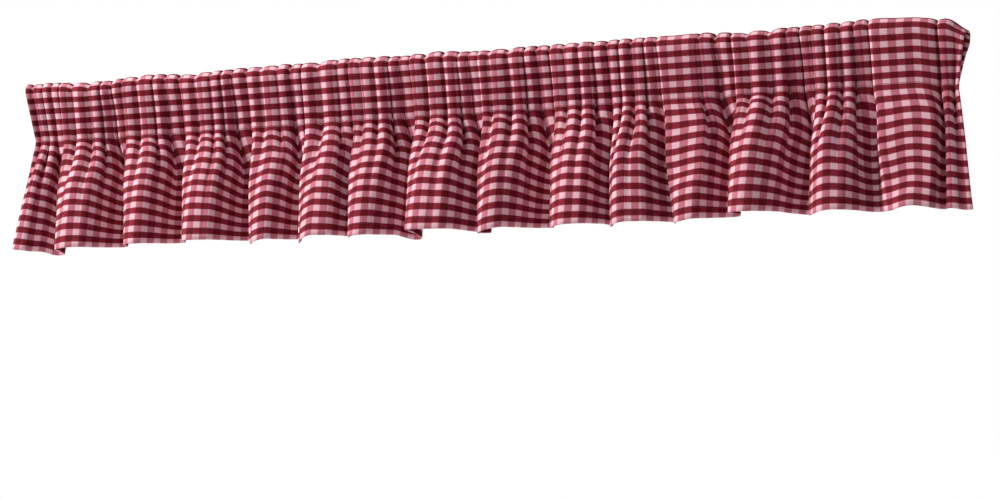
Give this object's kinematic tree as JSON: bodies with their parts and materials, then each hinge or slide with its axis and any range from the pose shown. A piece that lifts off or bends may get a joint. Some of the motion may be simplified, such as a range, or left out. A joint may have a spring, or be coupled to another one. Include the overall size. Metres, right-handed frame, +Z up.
{
  "type": "gathered rod pocket window valance",
  "caption": "Short gathered window valance in checked cotton, with an open-ended rod pocket along its top and a ruffled skirt below the stitching.",
  "frame": {"origin": "middle of the top edge, over the rod pocket, where the rod holds the valance up", "axes": "+X along the valance to the right as seen from the front, +Z up, -Y to the front"},
  "size_m": [1.1397, 0.0577, 0.2059],
  "materials": {
    "checked_cotton": "plain weave cotton in a red and white check, matt"
  },
  "bodies": {
    "root": {"valance": "checked_cotton"}
  },
  "joints": []
}
